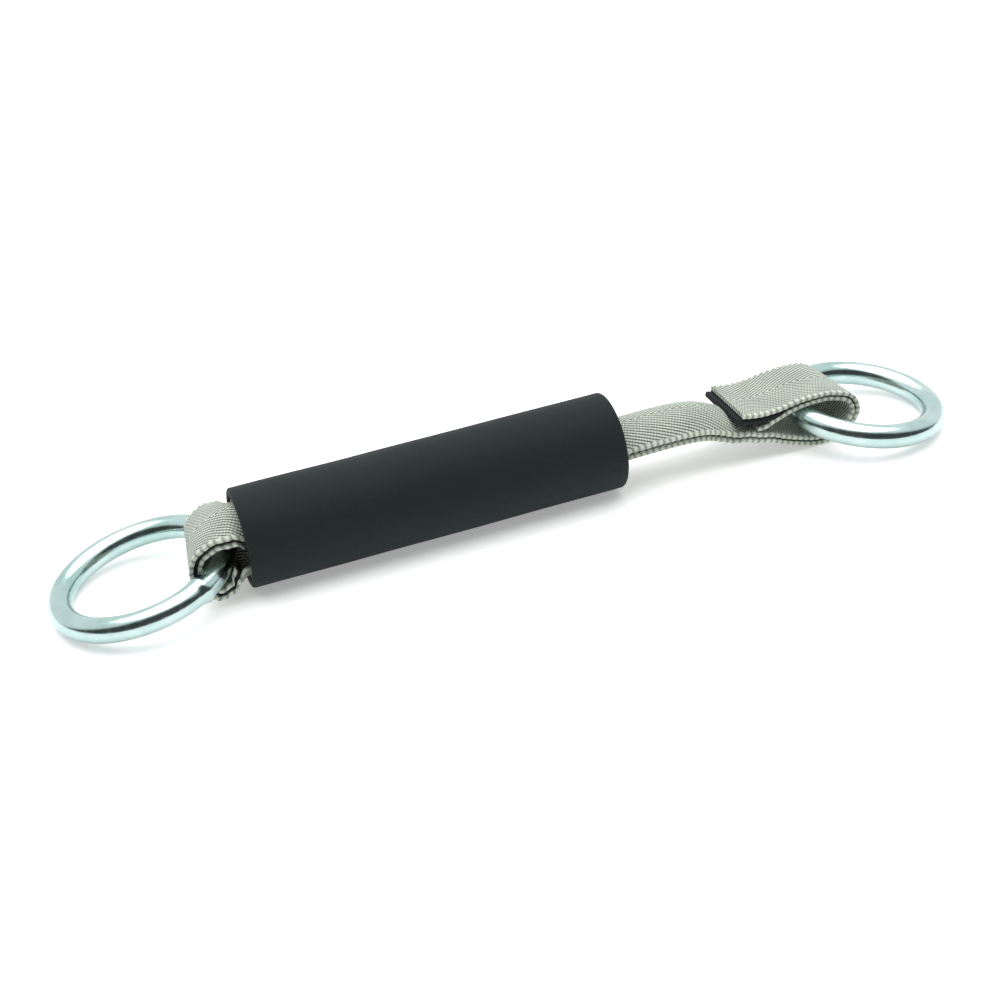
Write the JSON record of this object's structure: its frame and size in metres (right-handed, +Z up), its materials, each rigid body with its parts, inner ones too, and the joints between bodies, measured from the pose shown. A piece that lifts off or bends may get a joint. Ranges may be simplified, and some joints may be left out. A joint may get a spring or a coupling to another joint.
{
  "type": "shoulder pulley strap handle",
  "caption": "Black foam grip on a folded grey webbing strap, with a welded steel ring looped in at each end and a closure flap with hook tape.",
  "frame": {"origin": "on the resting line, under the middle of the foam grip", "axes": "+X along the grip towards the ring with the closure flap, +Z up"},
  "size_m": [0.3018, 0.0701, 0.032],
  "materials": {
    "foam": "matte closed-cell foam",
    "core_plastic": "matte",
    "webbing": "woven herringbone",
    "black_tape": "matte",
    "zinc_steel": "bright zinc plated"
  },
  "bodies": {
    "strap": {"webbing_strap": "webbing", "middle_tape": "black_tape", "left_loop_tape": "black_tape", "left_loop_liner": "webbing"},
    "core": {"core_tube": "core_plastic"},
    "grip": {"foam_grip": "foam"},
    "ring_left": {"left_ring": "zinc_steel"},
    "ring_right": {"right_ring": "zinc_steel"},
    "flap": {"closure_flap": "webbing", "flap_hook_tape": "black_tape"}
  },
  "joints": [
    {"name": "grip_slide", "type": "slide", "parent": "strap", "child": "core", "axis": [1, 0, 0], "range_m": [0, 0.025], "deforming": ["webbing_strap", "middle_tape"]},
    {"name": "grip_turn", "type": "hinge", "parent": "core", "child": "grip", "pos_m": [0, 0, 0.016], "axis": [1, 0, 0], "continuous": true},
    {"name": "left_ring_swing", "type": "hinge", "parent": "strap", "child": "ring_left", "pos_m": [-0.069, 0, 0.0127], "axis": [0, 1, 0], "range_deg": [0, 90], "deforming": ["webbing_strap", "left_loop_tape", "left_loop_liner"]},
    {"name": "right_ring_swing", "type": "hinge", "parent": "strap", "child": "ring_right", "pos_m": [0.131, 0, 0.0116], "axis": [0, -1, 0], "range_deg": [0, 35], "deforming": ["webbing_strap", "middle_tape"]},
    {"name": "flap_peel", "type": "hinge", "parent": "strap", "child": "flap", "pos_m": [0.1302, 0, 0.0198], "axis": [0, 1, 0], "range_deg": [0, 140]}
  ]
}
